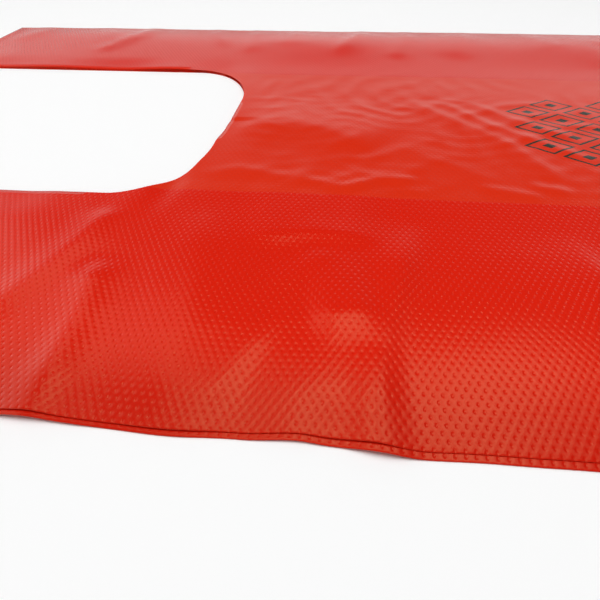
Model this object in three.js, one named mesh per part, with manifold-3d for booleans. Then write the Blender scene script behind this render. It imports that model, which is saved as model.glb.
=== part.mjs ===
// Flat t-shirt bag of gusseted tube film, lying on its back panel.
// Length along X with the handles at -X and the bottom seal at +X, width along Y, Z up.
// The origin is at the middle of the footprint, on the surface that the bag lies on.
import * as THREE from 'three';
import Module from 'manifold-3d';
import { mergeVertices } from 'three/addons/utils/BufferGeometryUtils.js';

// Driving dimensions of the bag, in millimetres.
const bagLength = 550;          // handle tops to bottom edge
const bagWidth = 300;           // laid flat, over the front panel's side folds
const gussetDepth = 90;         // side fold to the gusset's inner fold
const handleLength = 180;       // handle tops to the mouth's cut edge
const foldTrim = 4.5;           // the notch's cut trims this much off the gussets' inner folds
const neckAlong = 30;           // rounding where handle and mouth edges meet, along the bag
const neckAcross = 40;          // and across it
const backFoldReveal = 1.4;     // back panel's side fold showing past the front panel's
const bottomSealWidth = 8;      // welded band at the bottom, with its trim strip
const handleSealWidth = 6;      // welded band across each handle top

// The film is drawn thicker than life, with its layers a little apart.
const filmThickness = 0.4;
const layerGap = 0.4;
const weldSink = 0.1;           // a weld is pressed this much thinner than its layers
const weldSpill = 0.3;          // and it spreads this far past the side folds

// Slack of the top layers over the flat back panel.
const puffHeight = 0.9;         // the front panel bows up this much from its side folds
const waveHeight = 0.9;         // and long low waves cross it
const slackInset = 27;          // both die out over this distance from every edge

// Fineness of the drawn surface.
const stationSpacing = 27;
const panelSpacing = 25;
const leafSteps = 3;
const foldSteps = 3;

const pitch = filmThickness + layerGap;
const halfWidth = bagWidth / 2;
const halfLength = bagLength / 2;
const innerFoldY = halfWidth - gussetDepth;
const mouthX = -halfLength + handleLength;
const notchHalfWidth = innerFoldY + foldTrim;
const layerCount = 4;
const layerZ = (layer) => filmThickness / 2 + layer * pitch;

const wasm = await Module();
wasm.setup();

const smoothstep = (value) => {
  const t = Math.min(1, Math.max(0, value));
  return t * t * (3 - 2 * t);
};

// Rise of the slack front panel over its flat place: it bows up inside its folds and
// welds, with two sets of long low oblique waves on top.
function slack(x, y) {
  const fromFold = halfWidth - Math.abs(y);
  const fromWeld = halfLength - Math.abs(x);
  const fade = smoothstep(fromFold / slackInset) * smoothstep(fromWeld / slackInset);
  const wave = 0.5
    + 0.30 * Math.sin((x + 0.35 * y) / 23)
    + 0.20 * Math.sin((y - 0.15 * x) / 17 + 1.1);
  return fade * (puffHeight + waveHeight * wave);
}

// Height of a film layer's middle at a point: the back panel is flat, and each layer
// above it takes a larger share of the slack.
function heightOf(layer, x, y) {
  return layerZ(layer) + (layer / (layerCount - 1)) * slack(x, y);
}

// One station's film section as a closed loop of [y, z, normalY, normalZ], walked once
// round the tube: front panel, gusset leaves, back panel, gusset leaves.
function sectionLoop(x) {
  const loop = [];
  const straight = (layer, from, to, steps, side) => {
    for (let i = 0; i <= steps; i += 1) {
      const y = from + ((to - from) * i) / steps;
      loop.push([y, heightOf(layer, x, y), 0, side]);
    }
  };
  // A fold turns half a circle about a point between two layers.
  const fold = (lower, upper, y, bulge, upwards, side) => {
    const low = heightOf(lower, x, y);
    const high = heightOf(upper, x, y);
    const radius = (high - low) / 2;
    for (let i = 1; i < foldSteps; i += 1) {
      const turn = (Math.PI * i) / foldSteps;
      const rise = upwards ? -Math.cos(turn) : Math.cos(turn);
      loop.push([
        y + bulge * radius * Math.sin(turn),
        (high + low) / 2 + radius * rise,
        side * bulge * Math.sin(turn),
        side * rise,
      ]);
    }
  };
  const reach = halfWidth - pitch / 2;
  const backReach = reach + backFoldReveal;
  const inner = innerFoldY + pitch / 2;
  const panelSteps = Math.round(bagWidth / panelSpacing);
  straight(3, -reach, reach, panelSteps, 1);
  fold(2, 3, reach, 1, false, 1);
  straight(2, reach, inner, leafSteps, -1);
  fold(1, 2, inner, -1, false, -1);
  straight(1, inner, backReach, leafSteps, 1);
  fold(0, 1, backReach, 1, false, 1);
  straight(0, backReach, -backReach, panelSteps, -1);
  fold(0, 1, -backReach, -1, true, 1);
  straight(1, -backReach, -inner, leafSteps, 1);
  fold(1, 2, -inner, 1, true, -1);
  straight(2, -inner, -reach, leafSteps, -1);
  fold(2, 3, -reach, -1, true, 1);
  return loop;
}

function solidFrom(positions, indices) {
  let geometry = new THREE.BufferGeometry();
  geometry.setAttribute('position', new THREE.Float32BufferAttribute(positions, 3));
  geometry.setIndex(indices);
  return toSolid(geometry);
}

function toSolid(source) {
  let geometry = source;
  geometry.deleteAttribute('normal');
  geometry.deleteAttribute('uv');
  geometry = mergeVertices(geometry, 1e-4);
  return new wasm.Manifold(new wasm.Mesh({
    numProp: 3,
    vertProperties: new Float32Array(geometry.attributes.position.array),
    triVerts: new Uint32Array(geometry.index.array),
  }));
}

// The film tube: each station's loop offset half a film outwards and inwards.
function filmTube() {
  const start = -halfLength + handleSealWidth / 2;
  const end = halfLength - bottomSealWidth / 2;
  const stations = Math.round((end - start) / stationSpacing);
  const positions = [];
  const indices = [];
  let loopSize = 0;
  for (let i = 0; i <= stations; i += 1) {
    const x = start + ((end - start) * i) / stations;
    const loop = sectionLoop(x);
    loopSize = loop.length;
    for (const side of [0.5, -0.5]) {
      for (const [y, z, normalY, normalZ] of loop) {
        const offset = side * filmThickness;
        positions.push(x, y + offset * normalY, z + offset * normalZ);
      }
    }
  }
  const at = (station, skin, k) => (station * 2 + skin) * loopSize + (k % loopSize);
  const quad = (a, b, c, d) => indices.push(a, b, c, a, c, d);
  for (let i = 0; i < stations; i += 1) {
    for (let k = 0; k < loopSize; k += 1) {
      quad(at(i, 0, k), at(i + 1, 0, k), at(i + 1, 0, k + 1), at(i, 0, k + 1));
      quad(at(i, 1, k), at(i, 1, k + 1), at(i + 1, 1, k + 1), at(i + 1, 1, k));
    }
  }
  for (let k = 0; k < loopSize; k += 1) {
    quad(at(0, 0, k), at(0, 0, k + 1), at(0, 1, k + 1), at(0, 1, k));
    quad(at(stations, 0, k), at(stations, 1, k), at(stations, 1, k + 1), at(stations, 0, k + 1));
  }
  return solidFrom(positions, indices);
}

// The die-cut notch between the handles, with oval corners at the mouth.
function notchCutter() {
  const top = -halfLength - handleSealWidth;
  const cornerX = mouthX - neckAlong;
  const cornerY = notchHalfWidth - neckAcross;
  const shape = new THREE.Shape();
  shape.moveTo(top, -notchHalfWidth);
  shape.lineTo(cornerX, -notchHalfWidth);
  shape.absellipse(cornerX, -cornerY, neckAlong, neckAcross, -Math.PI / 2, 0);
  shape.lineTo(mouthX, cornerY);
  shape.absellipse(cornerX, cornerY, neckAlong, neckAcross, 0, Math.PI / 2);
  shape.lineTo(top, notchHalfWidth);
  const depth = (layerCount + 2) * pitch + puffHeight + waveHeight;
  const cutter = new THREE.ExtrudeGeometry(shape, { depth, bevelEnabled: false, curveSegments: 8 });
  cutter.translate(0, 0, -pitch);
  return toSolid(cutter);
}

// A welded band across the tube: every layer that it crosses is fused into one strip.
function weldBand(xFrom, xTo) {
  const height = (layerCount - 1) * pitch + filmThickness - 2 * weldSink;
  const reach = halfWidth + backFoldReveal + weldSpill;
  const band = new THREE.BoxGeometry(xTo - xFrom, 2 * reach, height);
  band.translate((xFrom + xTo) / 2, 0, height / 2 + weldSink);
  return toSolid(band);
}

// The tube is welded across both ends before the notch is cut, so that the cut parts
// the top weld into one weld for each handle.
function bagSolid() {
  const bottomSeal = weldBand(halfLength - bottomSealWidth, halfLength);
  const handleSeals = weldBand(-halfLength, -halfLength + handleSealWidth);
  return filmTube().add(bottomSeal).add(handleSeals).subtract(notchCutter());
}

function bagGeometry() {
  const mesh = bagSolid().getMesh();
  const geometry = new THREE.BufferGeometry();
  geometry.setAttribute('position', new THREE.BufferAttribute(new Float32Array(mesh.vertProperties), 3));
  geometry.setIndex(new THREE.BufferAttribute(new Uint32Array(mesh.triVerts), 1));
  return geometry;
}

const redFilm = new THREE.MeshStandardMaterial({ color: 0xd93018, roughness: 0.38, metalness: 0 });

const group = new THREE.Group();
const bag = new THREE.Mesh(bagGeometry(), redFilm);
bag.name = 'bag_film';
group.add(bag);

export default group;
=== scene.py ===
import random
from math import cos, hypot, pi, radians, sin

import bmesh
import bpy
import numpy as np
from mathutils import Matrix, Vector


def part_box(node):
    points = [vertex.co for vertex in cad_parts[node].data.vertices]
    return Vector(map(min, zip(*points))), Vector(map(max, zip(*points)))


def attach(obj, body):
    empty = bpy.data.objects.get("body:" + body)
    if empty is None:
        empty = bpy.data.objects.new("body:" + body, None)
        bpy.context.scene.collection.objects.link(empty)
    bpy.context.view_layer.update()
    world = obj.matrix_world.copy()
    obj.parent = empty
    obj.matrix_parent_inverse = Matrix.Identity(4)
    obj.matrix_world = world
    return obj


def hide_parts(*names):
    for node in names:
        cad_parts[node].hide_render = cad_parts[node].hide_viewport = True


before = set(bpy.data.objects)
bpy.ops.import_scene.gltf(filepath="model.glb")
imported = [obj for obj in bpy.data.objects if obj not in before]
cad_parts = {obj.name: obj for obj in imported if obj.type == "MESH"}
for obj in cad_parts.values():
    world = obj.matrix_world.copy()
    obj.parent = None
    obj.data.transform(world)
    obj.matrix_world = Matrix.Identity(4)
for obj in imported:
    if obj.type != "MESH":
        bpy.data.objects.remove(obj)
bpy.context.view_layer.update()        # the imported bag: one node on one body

mm = 0.001
photoSize = 600          # the photograph's frame, in pixels each way


def makeCamera():
    # Found from the rows of the emboss and the two fold lines, which run along X.
    lens = dict(focalPixels=470, sensor=36.0, pitch=43.0, turn=6.5, roll=0.92)
    place = Vector((-0.043, -0.1985, 0.083))
    data = bpy.data.cameras.new("photoCamera")
    data.sensor_width = lens["sensor"]
    data.lens = lens["sensor"] * lens["focalPixels"] / photoSize
    data.clip_start = 0.005
    camera = bpy.data.objects.new("photoCamera", data)
    turned = Matrix.Rotation(radians(lens["turn"]), 4, "Z")
    tipped = Matrix.Rotation(radians(90 - lens["pitch"]), 4, "X")
    rolled = Matrix.Rotation(radians(-lens["roll"]), 4, "Z")
    camera.matrix_world = Matrix.Translation(place) @ turned @ tipped @ rolled
    bpy.context.collection.objects.link(camera)
    bpy.context.scene.camera = camera
    print("camera placed")


# The bag's own sizes, in metres. Its length is the frame's.
low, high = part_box("bag_film")
bag = dict(
    length=high[0] - low[0],
    width=0.300,              # front panel, fold to fold
    gusset=0.090,
    handle=0.180,             # handle tops to the mouth's edge
    foldTrim=0.0045,          # what the notch's cut takes off the gussets' inner folds
    neckAlong=0.030,          # the notch's round corners, along and across the bag
    neckAcross=0.040,
    backReveal=0.0014,        # back panel's fold past the front panel's
    film=0.00012,
    bottomWeld=0.008,
    handleWeld=0.006,
)
halfLength = bag["length"] / 2
halfWidth = bag["width"] / 2
innerFold = halfWidth - bag["gusset"]
notchSide = innerFold + bag["foldTrim"]
mouth = -halfLength + bag["handle"]


def easeStep(t):
    t = np.clip(t, 0.0, 1.0)
    return t * t * (3 - 2 * t)


def eased(at, stops):
    # Eases from each stop to the next. A stop is (place, value).
    value = np.full(at.shape, float(stops[0][1]))
    for (place, before), (nextPlace, after) in zip(stops, stops[1:]):
        value += (after - before) * easeStep((at - place) / (nextPlace - place))
    return value


# All the slack below is in millimetres on the front panel.
# A ridge has its crest on its path. Left and right are the widths of its two sides,
# seen along the path. It fades out past the path's ends, and round blunts its crest.
ridges = [
    # Across the near handle and the bag's side, from the near fold inwards.
    dict(path=[(-105.5, -153), (-106, -135), (-107, -120), (-109, -109)],
         high=1.6, left=9, right=12, fade=12),
    dict(path=[(-130, -121), (-124, -105), (-120, -90), (-118.5, -80)], high=1.0, left=11, right=8, fade=9),
    dict(path=[(-79, -153), (-80, -120), (-85, -92)], high=0.9, left=24, right=22, fade=26, round=3),
    dict(path=[(-73, -152), (-69, -143), (-62, -127)], high=0.4, left=20, right=4, fade=12),
    dict(path=[(-35, -153), (-34, -135), (-31, -115), (-27, -98)], high=1.25, left=28, right=6.5, fade=26),
    dict(path=[(38, -152), (31, -130), (26, -100)], high=0.9, left=40, right=9, fade=26),
    # Along the bag, over the gusset.
    dict(path=[(-63, -84), (-52, -82), (-42, -83)], high=1.05, left=50, right=8, fade=12, round=0.4),
    dict(path=[(-49, -94), (-57, -104)], high=0.3, left=4, right=6, fade=5, round=0.4),
    dict(path=[(-44, -117), (-39, -116)], high=1.35, left=46, right=11, fade=8, round=0.8),
    dict(path=[(-76, -124), (-64, -121), (-52, -119)], high=0.10, left=4, right=2, fade=3, round=0.3),
    dict(path=[(9, -135), (0, -138), (-9, -140), (-16, -145)], high=0.10, left=2, right=3, fade=2, round=0.2),
    # Over the middle, where only two layers lie.
    dict(path=[(-84, -6), (-70, -3), (-58, -5), (-50, -9), (-43, -16)],
         high=1.0, left=40, right=22, fade=14, round=1.5),
    dict(path=[(-58, -49), (-43, -55)], high=0.30, left=5, right=7, fade=5, round=0.4),
    dict(path=[(-42, -53), (-33, -48), (-22, -47)], high=0.56, left=4, right=6, fade=4, round=0.3),
    dict(path=[(-92, -47), (-82, -43), (-66, -48)], high=0.26, left=5, right=8, fade=6, round=0.4),
    dict(path=[(-12, 21), (4, 2), (19, -16), (29, -38)], high=0.34, left=5, right=10, fade=8, round=0.7),
    dict(path=[(2, 20), (14, 3), (30, -12), (42, -24)], high=0.30, left=4, right=8, fade=8, round=0.6),
    dict(path=[(14, 22), (26, 8), (44, -8)], high=0.28, left=4, right=8, fade=6, round=0.5),
    dict(path=[(5, -51), (13, -53), (19, -55)], high=0.34, left=4, right=7, fade=4, round=0.3),
    dict(path=[(22, -49), (30, -51)], high=0.32, left=4, right=7, fade=4, round=0.3),
    dict(path=[(-20, -24), (-8, -32), (6, -44)], high=0.16, left=6, right=9, fade=7, round=0.8),
    dict(path=[(-39, 22), (-37, 0), (-36, -24)], high=0.16, left=7, right=4, fade=7, round=0.5),
]

ridgeForm = dict(round=0.7, sharpness=1.6)         # where a ridge doesn't say its own

spareRidges = dict(
    seed=11, gap=(24, 44), inward=(26, 62), lean=(-16, 16), high=(0.4, 1.0), width=(7, 26), fade=(10, 24),
    pastView=14, fromEnd=24, farStart=22, nearStart=20, beforeView=6,
)


def restOfRidges():
    # Creases that run in from both side folds, where the photograph doesn't reach.
    draw = random.Random(spareRidges["seed"])
    endOfBag = halfLength / mm
    viewStart, viewEnd = (x / mm for x in photoReach["x"])
    lastPlace = endOfBag - spareRidges["fromEnd"]
    stretches = [
        (-1, viewEnd + spareRidges["pastView"], lastPlace),
        (1, -endOfBag + spareRidges["farStart"], lastPlace),
        (-1, -endOfBag + spareRidges["nearStart"], viewStart - spareRidges["beforeView"]),
    ]
    made = []
    for side, x, end in stretches:
        while x < end:
            lean = draw.uniform(*spareRidges["lean"])
            reach = draw.uniform(*spareRidges["inward"])
            fold = side * (halfWidth / mm + 2)
            made.append(dict(
                path=[
                    (x, fold),
                    (x + lean * 0.3, fold - side * reach * 0.5),
                    (x + lean, fold - side * reach),
                ],
                high=draw.uniform(*spareRidges["high"]),
                left=draw.uniform(*spareRidges["width"]),
                right=draw.uniform(*spareRidges["width"]),
                fade=draw.uniform(*spareRidges["fade"]),
            ))
            x += draw.uniform(*spareRidges["gap"])
    return made


def alongPath(px, py, path):
    # Signed distance from the path, positive on its right, and how far past its ends.
    best = np.full(px.shape, 1e9)
    signed = np.zeros(px.shape)
    beyond = np.zeros(px.shape)
    for (ax, ay), (bx, by) in zip(path, path[1:]):
        run = hypot(bx - ax, by - ay)
        ux, uy = (bx - ax) / run, (by - ay) / run
        rx, ry = px - ax, py - ay
        t = rx * ux + ry * uy
        inside = np.clip(t, 0, run)
        distance = np.hypot(rx - inside * ux, ry - inside * uy)
        nearer = distance < best
        best = np.where(nearer, distance, best)
        signed = np.where(nearer, rx * uy - ry * ux, signed)
        beyond = np.where(nearer, np.abs(t - inside), beyond)
    return signed, beyond


def ridgeRise(px, py, ridge):
    off, beyond = alongPath(px, py, ridge["path"])
    rounding = ridge.get("round", ridgeForm["round"])
    reach = np.where(off < 0, ridge["left"], ridge["right"])
    t = (np.sqrt(off * off + rounding * rounding) - rounding) / reach
    profile = np.clip(1 - t, 0, 1) ** ridgeForm["sharpness"]
    return ridge["high"] * profile * easeStep(1 - beyond / ridge["fade"])


# The front panel bows up from its folds at a slope: straight over the firm stretch, then
# rounding off over the soft one. Each stop is a place along the bag and a value there.
nearPuff = dict(
    slope=[(-250, 0.03), (-150, 0.04), (-118, 0.03), (-104, 0.0), (-80, 0.03),
           (-62, 0.038), (-52, 0.045), (-42, 0.06), (-22, 0.055), (6, 0.06), (40, 0.045),
           (90, 0.06), (150, 0.035), (210, 0.05), (260, 0.03)],
    firm=[(-150, 16), (-104, 8), (-92, 28), (-80, 24), (-66, 20), (-42, 14), (-32, 14), (-22, 20),
          (6, 20), (40, 18)],
    soft=[(-110, 24), (-92, 32), (-78, 26), (-62, 16), (-42, 14), (-26, 24), (10, 26), (50, 22)],
)
farPuff = dict(
    slope=[(-250, 0.03), (-180, 0.06), (-120, 0.04), (-60, 0.07), (0, 0.05), (70, 0.06), (140, 0.035),
           (200, 0.06), (260, 0.03)],
    firm=[(-200, 12), (-80, 24), (0, 14), (90, 26), (180, 14)],
    soft=[(-200, 20), (0, 26), (200, 18)],
)
evenRise = dict(high=0.8, start=30, run=50)        # every puff comes to this, well inside the fold


def puffRise(px, inward, puff):
    slope = eased(px, puff["slope"])
    firm = eased(px, puff["firm"])
    soft = eased(px, puff["soft"])
    past = np.clip(inward - firm, 0, soft)
    rise = slope * (np.minimum(inward, firm) + past - past * past / (2 * soft))
    return rise + (evenRise["high"] - rise) * easeStep((inward - evenRise["start"]) / evenRise["run"])


# Fine crumples: sets of sharp little waves that come and go.
crumples = [
    dict(turn=-50, gap=15, bend=5, phase=0.4, high=0.24, patchX=21, patchY=17),
    dict(turn=-38, gap=9, bend=4, phase=2.1, high=0.14, patchX=14, patchY=19),
    dict(turn=24, gap=12, bend=6, phase=4.0, high=0.13, patchX=17, patchY=11),
    dict(turn=82, gap=8, bend=3, phase=1.3, high=0.10, patchX=12, patchY=9),
]
taut = dict(x=-64, y=-25, long=20, wide=17, share=0.85)      # a smoother place between them


def crumpleRise(px, py):
    rise = np.zeros(px.shape)
    for waves in crumples:
        turn = radians(waves["turn"])
        along = px * cos(turn) + py * sin(turn)
        across = -px * sin(turn) + py * cos(turn)
        phase = waves["phase"]
        bend = waves["bend"] * np.sin(across / 13 + phase) + 2 * np.sin(across / 5.3 + 2 * phase)
        crest = 1 - np.abs(np.sin(pi * (along + bend) / waves["gap"]))
        patch = np.sin(px / waves["patchX"] + phase) * np.sin(py / waves["patchY"] + 3 * phase)
        rise += waves["high"] * crest ** 1.5 * easeStep(0.5 + 0.9 * patch)
    offTaut = ((px - taut["x"]) / taut["long"]) ** 2 + ((py - taut["y"]) / taut["wide"]) ** 2
    return rise * (1 - taut["share"] * np.exp(-offTaut))


def swell(px, py):
    # Long low waves of the whole panel.
    return 0.25 + 0.13 * np.sin((px + 0.4 * py) / 29 + 0.6) + 0.10 * np.sin((py - 0.3 * px) / 21 + 1.9)


# Height of the free edges round the notch: along the near handle, and along the rest.
notchLip = dict(
    reach=20,
    nearHandle=[(-262, 0.1), (-225, 1.1), (-190, 0.3), (-153, 0.4), (-138, 0.9), (-124, 1.0),
                (-111, 1.5), (-103, 0.5), (-97, 0.9)],
    rest=[(-262, 0.1), (-210, 0.9), (-170, 0.3), (-140, 1.2), (-112, 0.7), (-99, 1.25)],
)


def fromNotch(px, py):
    # Rough distance from the notch's outline.
    along, across = bag["neckAlong"] / mm, bag["neckAcross"] / mm
    dx = px - (mouth / mm - along)
    dy = np.abs(py) - (notchSide / mm - across)
    corner = (np.hypot(np.maximum(dx, 0) / along, np.maximum(dy, 0) / across) - 1) * (along + across) / 2
    straight = np.where(dx > 0, dx - along, dy - across)
    return np.where((dx > 0) & (dy > 0), corner, straight)


# How the slack gathers: over these distances from the folds, the gussets and the ends.
gather = dict(ridge=12, ridgeAtFold=0.4, swell=25, twoLayers=14, overGusset=0.10, end=30)


def slackOf(px, py):
    inward = halfWidth / mm - np.abs(py)
    atFold = gather["ridgeAtFold"]
    rise = np.where(py < 0, puffRise(px, inward, nearPuff), puffRise(px, inward, farPuff))
    for ridge in ridges + restRidges:
        rise = rise + ridgeRise(px, py, ridge) * (atFold + (1 - atFold) * easeStep(inward / gather["ridge"]))
    rise = rise + swell(px, py) * easeStep(inward / gather["swell"])
    twoLayers = easeStep((innerFold / mm + 3 - np.abs(py)) / gather["twoLayers"])
    rise = rise + crumpleRise(px, py) * (gather["overGusset"] + (1 - gather["overGusset"]) * twoLayers)
    lip = np.where(py < 0, eased(px, notchLip["nearHandle"]), eased(px, notchLip["rest"]))
    hold = easeStep(1 - fromNotch(px, py) / notchLip["reach"])
    rise = rise + (lip - rise) * hold
    endFade = easeStep((halfLength / mm - np.abs(px)) / gather["end"])
    return np.maximum(rise, 0) * endFade


# The near fold stands up from the floor here and there, with all its layers.
liftedFold = dict(
    run=24,
    stops=[(-122, 0.0), (-106, 1.3), (-98, 0.5), (-88, 0.0), (-62, 0.0), (-50, 0.5), (-42, 0.1), (-33, 1.3),
           (-24, 0.0), (70, 0.0), (84, 0.9), (100, 0.0), (160, 0.0), (176, 1.1), (190, 0.0)],
)


def foldLift(px, py):
    away = np.clip(halfWidth / mm + py, 0, None)
    return eased(px, liftedFold["stops"]) * np.clip(1 - away / liftedFold["run"], 0, 1)


# Millimetres between the layers. They are closer in the welds, and over the middle the
# front panel settles onto the back one.
stack = dict(lift=0.09, pitch=0.14, weldPitch=0.13, weldRun=14, settleRun=9)


def layerHeight(layer, px, py):
    # Height of a layer's middle in millimetres. The back panel, layer 0, has no slack.
    toEnd = halfLength / mm - np.abs(px)
    loose = easeStep((toEnd - 5) / stack["weldRun"])
    pitch = stack["weldPitch"] + (stack["pitch"] - stack["weldPitch"]) * loose
    settle = easeStep((innerFold / mm + 1 - np.abs(py)) / stack["settleRun"])
    drop = np.where(layer > 2.5, pitch * settle, 0)
    return stack["lift"] + layer * pitch - drop + layer / 3 * slackOf(px, py) + foldLift(px, py)


# The folds and cut edges aren't quite straight. Millimetres, positive along +Y and +X.
edgeWander = dict(
    nearFold=[(-200, -0.3), (-152, 0.5), (-105, 0.3), (-92, -0.1), (-76, -0.6), (-61, 0.1), (-49, 0.8),
              (-43, 0.5), (-29, -0.6), (-10, 0.0), (8, 0.3), (40, 0.1), (90, -0.5), (150, 0.3), (220, -0.2)],
    mouth=[(-52, 0.0), (-36, -1.6), (-22, -1.4), (-9, 0.0), (4, 0.7), (22, 0.9), (50, 0.0)],
    reveal=[(-160, 0.9), (-90, 1.1), (-20, 1.6), (20, 1.7), (120, 1.2), (200, 1.6)],   # back past front
    foldRun=32,
    revealRun=20,
    mouthRun=22,
)


def wander(px, py, level):
    inward = halfWidth / mm - np.abs(py)
    byFold = easeStep(1 - inward / edgeWander["foldRun"])
    dy = np.where(py < 0, eased(px, edgeWander["nearFold"]), 0.5 * np.sin(px / 33 + 1.0)) * byFold
    extra = eased(px, edgeWander["reveal"]) - bag["backReveal"] / mm
    dy += np.where(level < 1.5, np.sign(py) * extra * easeStep(1 - inward / edgeWander["revealRun"]), 0)
    dx = eased(py, edgeWander["mouth"]) * easeStep(1 - np.abs(px - mouth / mm) / edgeWander["mouthRun"])
    return dx, dy


# Columns of the film round the tube, from the middle of the back panel and back to it.
fineness = dict(
    near=0.0018, far=0.0040, back=0.0100, leaf=0.0090, weld=0.0012,
    foldSteps=4, foldRun=0.0008, besideFold=0.0003, besideLeaf=0.002,
    cornerCuts=18, cutMargin=0.005,
)
photoReach = dict(x=(-0.156, 0.064), y=(-0.151, 0.032))     # what the photograph shows of the bag
restRidges = restOfRidges()


def spread(start, end, step):
    count = max(1, round(abs(end - start) / step))
    return [start + (end - start) * i / count for i in range(count + 1)]


def chained(*runs):
    stops = []
    for run in runs:
        stops += run if not stops else run[1:]
    return stops


def filmColumns():
    columns = []                       # level, y, bulge, distance round the tube

    def straight(level, ys):
        for y in ys:
            far = columns[-1]["s"] + abs(y - columns[-1]["y"]) if columns else 0.0
            columns.append(dict(level=level, y=y, bulge=0.0, s=far))

    def fold(lower, upper, y, bulge, rising):
        first = columns[-1]["s"]
        steps = fineness["foldSteps"]
        for i in range(1, steps):
            turn = pi * i / steps
            share = (1 - cos(turn)) / 2
            level = lower + (share if rising else 1 - share) * (upper - lower)
            far = first + fineness["foldRun"] * i / steps
            columns.append(dict(level=level, y=y, bulge=bulge * sin(turn), s=far))

    def folded(level, ys):
        # The first column after a fold starts where the fold ends.
        first = columns[-1]["s"] + fineness["foldRun"] / fineness["foldSteps"]
        for i, y in enumerate(ys):
            columns.append(dict(level=level, y=y, bulge=0.0, s=first + abs(y - ys[0])))

    back = halfWidth + bag["backReveal"]
    seen = photoReach["y"][1]
    beside = fineness["besideFold"]
    leafOut = chained(spread(innerFold, notchSide, 1), spread(notchSide, halfWidth, fineness["leaf"]))
    leafBack = chained(
        spread(innerFold, notchSide, 1),
        spread(notchSide, halfWidth - fineness["besideLeaf"], fineness["leaf"]),
        spread(halfWidth - fineness["besideLeaf"], back - beside, 1),
        [back - beside, back],
    )
    halfBack = chained(spread(0, notchSide, fineness["back"]), spread(notchSide, back, fineness["back"]))
    front = chained(
        [halfWidth, halfWidth - beside],
        spread(halfWidth - beside, notchSide, fineness["far"]),
        spread(notchSide, seen, fineness["far"]),
        spread(seen, -notchSide, fineness["near"]),
        spread(-notchSide, beside - halfWidth, fineness["near"]),
        [beside - halfWidth, -halfWidth],
    )
    straight(0, halfBack)
    fold(0, 1, back, 1, True)
    folded(1, leafBack[::-1])
    fold(1, 2, innerFold, -1, True)
    folded(2, leafOut)
    fold(2, 3, halfWidth, 1, True)
    folded(3, front)
    fold(2, 3, -halfWidth, -1, False)
    folded(2, [-y for y in leafOut[::-1]])
    fold(1, 2, -innerFold, 1, False)
    folded(1, [-y for y in leafBack])
    fold(0, 1, -back, -1, False)
    folded(0, [-y for y in halfBack[::-1]])
    return columns


def filmStations():
    left, right = photoReach["x"]
    weld = fineness["weld"]
    return chained(
        spread(-halfLength, -halfLength + bag["handleWeld"], weld),
        spread(-halfLength + bag["handleWeld"], left, fineness["far"]),
        spread(left, mouth, fineness["near"]),
        spread(mouth, right, fineness["near"]),
        spread(right, halfLength - bag["bottomWeld"], fineness["far"]),
        spread(halfLength - bag["bottomWeld"], halfLength, weld),
    )


def cutNotch(bm):
    # Round corners: a fan of upright cuts, each through the faces near the corner.
    along, across = bag["neckAlong"], bag["neckAcross"]
    steps = fineness["cornerCuts"]
    step = pi / 2 / steps
    corner = Vector((mouth - along, notchSide - across, 0))
    chords = []
    for i in range(steps):
        start = Vector((along * cos(i * step), across * sin(i * step), 0))
        end = Vector((along * cos((i + 1) * step), across * sin((i + 1) * step), 0))
        outward = Vector((end.y - start.y, start.x - end.x, 0)).normalized()
        chords.append((start, end, outward))
    margin = fineness["cutMargin"]
    for side in (-1, 1):
        for start, end, outward in chords:
            near = []
            for face in bm.faces:
                middle = face.calc_center_median()
                x, y = middle.x - corner.x, side * middle.y - corner.y
                if end.x - margin < x < start.x + margin and start.y - margin < y < end.y + margin:
                    near.append(face)
            edges = {edge for face in near for edge in face.edges}
            verts = {vert for face in near for vert in face.verts}
            spot = corner + start
            bmesh.ops.bisect_plane(
                bm, geom=[*near, *edges, *verts], dist=1e-7,
                plane_co=(spot.x, side * spot.y, 0), plane_no=(outward.x, side * outward.y, 0),
            )

    def inNotch(face):
        middle = face.calc_center_median()
        x, y = middle.x - corner.x, abs(middle.y) - corner.y
        if x > along or y > across:
            return False
        if x < 0 or y < 0:
            return True
        return all((x - start.x) * out.x + (y - start.y) * out.y < 0 for start, end, out in chords)

    waste = [face for face in bm.faces if inNotch(face)]
    bmesh.ops.delete(bm, geom=waste, context="FACES")


def layFilm(bm, level, bulge):
    # From the flat layout to the real heights, with the folds rounded between layers.
    bm.verts.ensure_lookup_table()
    levels = np.array([vert[level] for vert in bm.verts])
    bulges = np.array([vert[bulge] for vert in bm.verts])
    px = np.array([vert.co.x for vert in bm.verts]) / mm
    py = np.array([vert.co.y for vert in bm.verts]) / mm
    below = np.floor(levels + 1e-4)
    above = np.ceil(levels - 1e-4)
    zBelow = layerHeight(below, px, py)
    zAbove = layerHeight(above, px, py)
    share = np.clip(levels - below, 0, 1)
    z = zBelow + (zAbove - zBelow) * share
    dx, dy = wander(px, py, levels)
    x = px + dx
    y = py + dy + bulges * (zAbove - zBelow) / 2
    for vert, newX, newY, newZ in zip(bm.verts, x, y, z):
        vert.co = Vector((newX, newY, newZ)) * mm


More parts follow.
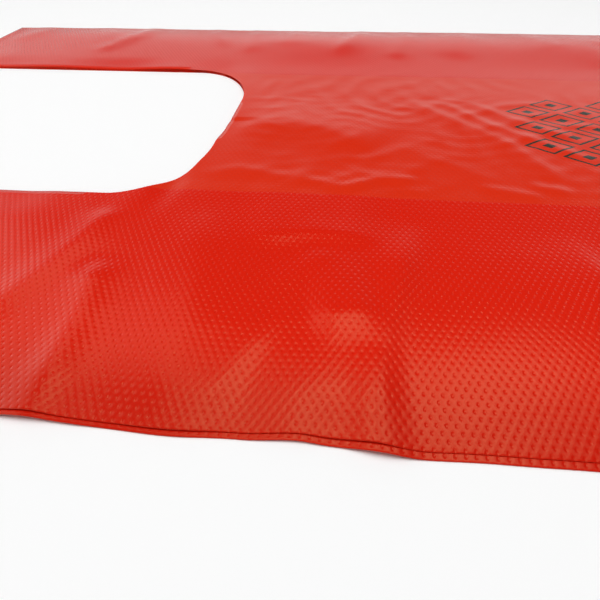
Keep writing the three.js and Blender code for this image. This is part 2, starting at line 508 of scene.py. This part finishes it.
def makeFilm():
    columns = filmColumns()
    stations = filmStations()
    bm = bmesh.new()
    bmesh.ops.create_grid(bm, x_segments=len(stations) - 1, y_segments=len(columns) - 1, size=0.5)
    level = bm.verts.layers.float.new("level")
    bulge = bm.verts.layers.float.new("bulge")
    uv = bm.loops.layers.uv.new("filmUV")
    cells = {}
    for vert in bm.verts:
        i = round((vert.co.x + 0.5) * (len(stations) - 1))
        k = round((vert.co.y + 0.5) * (len(columns) - 1))
        cells[vert] = (stations[i] + halfLength, columns[k]["s"])
        column = columns[k]
        vert[level] = column["level"]
        vert[bulge] = column["bulge"]
        vert.co = (stations[i], column["y"], column["level"] * 0.01)
    for face in bm.faces:
        for loop in face.loops:
            loop[uv].uv = cells[loop.vert]
    bmesh.ops.remove_doubles(bm, verts=bm.verts, dist=1e-6)
    cutNotch(bm)
    layFilm(bm, level, bulge)
    bm.verts.layers.float.remove(level)
    bm.verts.layers.float.remove(bm.verts.layers.float["bulge"])
    bmesh.ops.recalc_face_normals(bm, faces=bm.faces)
    mesh = bpy.data.meshes.new("bagFilm")
    bm.to_mesh(mesh)
    bm.free()
    mesh.shade_smooth()
    film = bpy.data.objects.new("bagFilm", mesh)
    bpy.context.collection.objects.link(film)
    wall = film.modifiers.new("wall", "SOLIDIFY")
    wall.thickness = bag["film"]
    wall.offset = 0
    wall.use_even_offset = True
    print("film made:", len(mesh.polygons), "faces,", len(columns), "columns,", len(stations), "stations")
    return film, columns


def nodeMaker(material):
    tree = material.node_tree

    def add(kind, **settings):
        node = tree.nodes.new(kind)
        for name, value in settings.items():
            setattr(node, name, value)
        return node

    def plug(source, target):
        tree.links.new(source, target)

    def calc(operation, *values):
        node = add("ShaderNodeMath", operation=operation)
        for i, value in enumerate(values):
            if isinstance(value, (int, float)):
                node.inputs[i].default_value = value
            else:
                plug(value, node.inputs[i])
        return node.outputs[0]

    return add, plug, calc


filmLook = dict(
    twoLayers=(0.74, 0.026, 0.005, 1),
    fourLayers=(0.73, 0.013, 0.003, 1),
    # painted shade near the side folds: its colour, and how far in from the fold it starts
    foldShadeColour=(0.58, 0.010, 0.003, 1),
    foldShadeFrom=0.026,                # in from the front panel's fold
    ink=(0.030, 0.034, 0.026, 1),
    gloss=(1.0, 0.84, 0.40, 1),
)
emboss = dict(
    pitch=0.00199, row=0.00172,      # along the bag and across it
    wide=0.00036, long=0.00056,      # a dimple's half sizes
    deep=0.000065,
    pillow=0.5,                      # share of the film's rise between the dimples
    middle=0.25, inner=0.6,          # firmness over the middle and over the gussets' inner folds
    firmFrom=0.035,                  # full firmness from here to the fold
    rib=0.0010, ribShare=0.5,        # the welds' ribs
)


def makeFilmMaterial(columns):
    material = bpy.data.materials.new("redEmbossedFilm")
    material.use_nodes = True
    add, plug, calc = nodeMaker(material)
    surface = material.node_tree.nodes["Principled BSDF"]
    surface.inputs["Roughness"].default_value = 0.19
    surface.inputs["IOR"].default_value = 1.5
    surface.inputs["Specular IOR Level"].default_value = 0.42
    surface.inputs["Specular Tint"].default_value = filmLook["gloss"]

    place = add("ShaderNodeTexCoord")
    flat = add("ShaderNodeSeparateXYZ")
    plug(place.outputs["UV"], flat.inputs[0])
    here = add("ShaderNodeSeparateXYZ")
    plug(place.outputs["Object"], here.inputs[0])

    # The sides have four layers and the middle has two.
    fromMiddle = calc("ABSOLUTE", here.outputs["Y"])
    gusseted = calc("GREATER_THAN", fromMiddle, innerFold)
    tone = add("ShaderNodeMix", data_type="RGBA")
    tone.inputs[6].default_value = filmLook["twoLayers"]
    tone.inputs[7].default_value = filmLook["fourLayers"]
    plug(gusseted, tone.inputs[0])

    # Painted shade: the red is darker towards the side folds, where the light on the film is weaker.
    foldShadeMask = add("ShaderNodeMapRange", interpolation_type="SMOOTHSTEP")
    foldShadeMask.inputs["From Min"].default_value = halfWidth - filmLook["foldShadeFrom"]
    foldShadeMask.inputs["From Max"].default_value = halfWidth + 0.001      # just past the back panel's strip
    plug(fromMiddle, foldShadeMask.inputs["Value"])
    foldShaded = add("ShaderNodeMix", data_type="RGBA")
    foldShaded.inputs[7].default_value = filmLook["foldShadeColour"]
    plug(foldShadeMask.outputs["Result"], foldShaded.inputs[0])
    plug(tone.outputs[2], foldShaded.inputs[6])

    inked = add("ShaderNodeMix", data_type="RGBA")
    inked.inputs[7].default_value = filmLook["ink"]
    plug(foldShaded.outputs[2], inked.inputs[6])
    plug(printMask(calc, flat.outputs["X"], flat.outputs["Y"], columns), inked.inputs[0])
    plug(inked.outputs[2], surface.inputs["Base Color"])

    # Staggered rows of small dimples, a little longer across the bag than along it. They
    # are crisp over the gussets' outer parts and faint over the middle, where few layers lie.
    roundTube = columns[-1]["s"]
    rowStep = roundTube / (2 * round(roundTube / emboss["row"] / 2))     # whole pairs round the tube

    def offGrid(shift):
        # Distance from the nearest dimple of every other row.
        row = calc("ADD", calc("DIVIDE", flat.outputs["Y"], 2 * rowStep), shift)
        rowOff = calc("MULTIPLY", calc("SUBTRACT", row, calc("ROUND", row)), 2 * rowStep / emboss["long"])
        run = calc("ADD", calc("DIVIDE", flat.outputs["X"], emboss["pitch"]), shift)
        runOff = calc("MULTIPLY", calc("SUBTRACT", run, calc("ROUND", run)), emboss["pitch"] / emboss["wide"])
        return calc("SQRT", calc("ADD", calc("MULTIPLY", rowOff, rowOff), calc("MULTIPLY", runOff, runOff)))

    away = calc("MINIMUM", offGrid(0.0), offGrid(0.5))
    pit = add("ShaderNodeMapRange", interpolation_type="SMOOTHSTEP")
    pit.inputs["From Min"].default_value = 0.1
    pit.inputs["From Max"].default_value = 1.3
    plug(away, pit.inputs["Value"])
    pillow = add("ShaderNodeMapRange", interpolation_type="SMOOTHSTEP")
    pillow.inputs["From Min"].default_value = 0.3
    pillow.inputs["From Max"].default_value = 2.9
    plug(away, pillow.inputs["Value"])
    relief = calc("ADD", pit.outputs["Result"], calc("MULTIPLY", pillow.outputs["Result"], emboss["pillow"]))
    outward = add("ShaderNodeMapRange", interpolation_type="SMOOTHSTEP")
    outward.inputs["From Min"].default_value = innerFold
    outward.inputs["From Max"].default_value = halfWidth - emboss["firmFrom"]
    outward.inputs["To Min"].default_value = emboss["inner"]
    plug(fromMiddle, outward.inputs["Value"])
    firmness = calc("MAXIMUM", calc("MULTIPLY", outward.outputs["Result"], gusseted), emboss["middle"])
    relief = calc("MULTIPLY", relief, firmness)

    # A ribbed bar presses the welds at both ends.
    toEnd = calc("MINIMUM", flat.outputs["X"], calc("SUBTRACT", bag["length"], flat.outputs["X"]))
    welded = calc("LESS_THAN", toEnd, bag["handleWeld"])
    ribs = calc("SINE", calc("MULTIPLY", toEnd, 2 * pi / emboss["rib"]))
    relief = calc("ADD", relief, calc("MULTIPLY", calc("MULTIPLY", ribs, welded), emboss["ribShare"]))
    bump = add("ShaderNodeBump")
    bump.inputs["Strength"].default_value = 1.0
    bump.inputs["Distance"].default_value = emboss["deep"]
    plug(relief, bump.inputs["Height"])
    plug(bump.outputs["Normal"], surface.inputs["Normal"])
    print("film material made")
    return material


# A plain printed field of lozenges on the front panel's middle line.
lozenges = dict(
    middle=0.070, halfLong=0.046, halfWide=0.030,      # the field's place along the bag and half sizes
    along=0.024, across=0.017,                         # one lozenge's cell
    outer=0.40, inner=0.33, heart=0.12,                # its ring and heart, as shares of the cell
)


def printMask(calc, flatX, flatY, columns):
    front = [column["s"] for column in columns if column["level"] == 3]
    middleOfPanel = (min(front) + max(front)) / 2
    along = calc("DIVIDE", calc("SUBTRACT", flatX, lozenges["middle"] + halfLength), lozenges["along"])
    across = calc("DIVIDE", calc("SUBTRACT", flatY, middleOfPanel), lozenges["across"])
    u = calc("ADD", along, across)
    v = calc("SUBTRACT", along, across)
    cellU = calc("ADD", calc("FLOOR", u), 0.5)
    cellV = calc("ADD", calc("FLOOR", v), 0.5)
    offU = calc("ABSOLUTE", calc("SUBTRACT", u, cellU))
    offV = calc("ABSOLUTE", calc("SUBTRACT", v, cellV))
    off = calc("MAXIMUM", offU, offV)
    inOuter = calc("LESS_THAN", off, lozenges["outer"])
    ring = calc("MULTIPLY", inOuter, calc("GREATER_THAN", off, lozenges["inner"]))
    drawn = calc("MAXIMUM", ring, calc("LESS_THAN", off, lozenges["heart"]))
    cellX = calc("MULTIPLY", calc("ADD", cellU, cellV), lozenges["along"] / 2)
    cellY = calc("MULTIPLY", calc("SUBTRACT", cellU, cellV), lozenges["across"] / 2)
    insideX = calc("LESS_THAN", calc("ABSOLUTE", cellX), lozenges["halfLong"])
    insideY = calc("LESS_THAN", calc("ABSOLUTE", cellY), lozenges["halfWide"])
    return calc("MULTIPLY", drawn, calc("MULTIPLY", insideX, insideY))


def makeFloor():
    mesh = bpy.data.meshes.new("paleFloor")
    bm = bmesh.new()
    bmesh.ops.create_grid(bm, x_segments=1, y_segments=1, size=4.0)
    bm.to_mesh(mesh)
    bm.free()
    floor = bpy.data.objects.new("paleFloor", mesh)
    bpy.context.collection.objects.link(floor)
    material = bpy.data.materials.new("palePaper")
    material.use_nodes = True
    surface = material.node_tree.nodes["Principled BSDF"]
    surface.inputs["Base Color"].default_value = (0.98, 0.98, 0.98, 1)
    surface.inputs["Roughness"].default_value = 0.9
    surface.inputs["Specular IOR Level"].default_value = 0.1
    mesh.materials.append(material)
    print("floor made")


def makeLights():
    def lamp(name, away, azimuth, elevation, size, watts, mirrored=True):
        data = bpy.data.lights.new(name, "AREA")
        data.shape = "RECTANGLE"
        data.size, data.size_y = size
        data.energy = watts
        flatAway = away * cos(radians(elevation))
        place = Vector((
            flatAway * sin(radians(azimuth)),
            flatAway * cos(radians(azimuth)),
            away * sin(radians(elevation)),
        ))
        light = bpy.data.objects.new(name, data)
        aimed = (-place).to_track_quat("-Z", "Y").to_matrix().to_4x4()
        light.matrix_world = Matrix.Translation(place) @ aimed
        light.visible_glossy = mirrored
        bpy.context.collection.objects.link(light)

    lamp("topBox", 1.6, 15, 66, (0.8, 0.48), 2.0)
    lamp("topLeftBox", 1.6, -32, 69, (0.5, 0.36), 0.95)
    lamp("rightBox", 1.6, 42, 57, (0.6, 0.42), 0.9)
    lamp("smallLeftBox", 1.6, -41, 50, (0.36, 0.50), 0.62)
    lamp("leftWindow", 1.6, -92, 32, (2.5, 1.2), 7)
    lamp("overBox", 1.6, 185, 84, (1.3, 1.1), 18, False)

    world = bpy.data.worlds.new("studio")
    bpy.context.scene.world = world
    world.use_nodes = True
    tree = world.node_tree
    back = tree.nodes["Background"]
    coords = tree.nodes.new("ShaderNodeTexCoord")
    split = tree.nodes.new("ShaderNodeSeparateXYZ")
    ramp = tree.nodes.new("ShaderNodeValToRGB")
    tree.links.new(coords.outputs["Generated"], split.inputs[0])
    tree.links.new(split.outputs["Z"], ramp.inputs[0])
    tree.links.new(ramp.outputs[0], back.inputs["Color"])
    stops = [(0.0, 0.75), (0.28, 0.62), (0.42, 0.10), (0.52, 0.03), (0.84, 0.03), (1.0, 0.25)]
    while len(ramp.color_ramp.elements) < len(stops):
        ramp.color_ramp.elements.new(0.5)
    for element, (spot, grey) in zip(ramp.color_ramp.elements, stops):
        element.position = spot
        element.color = (grey, grey, grey, 1)
    back.inputs["Strength"].default_value = 1.0
    print("lights made")


bpy.context.scene.view_settings.view_transform = "Standard"
makeCamera()
film, columns = makeFilm()
film.data.materials.append(makeFilmMaterial(columns))
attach(film, "root")
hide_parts("bag_film")
makeFloor()
makeLights()
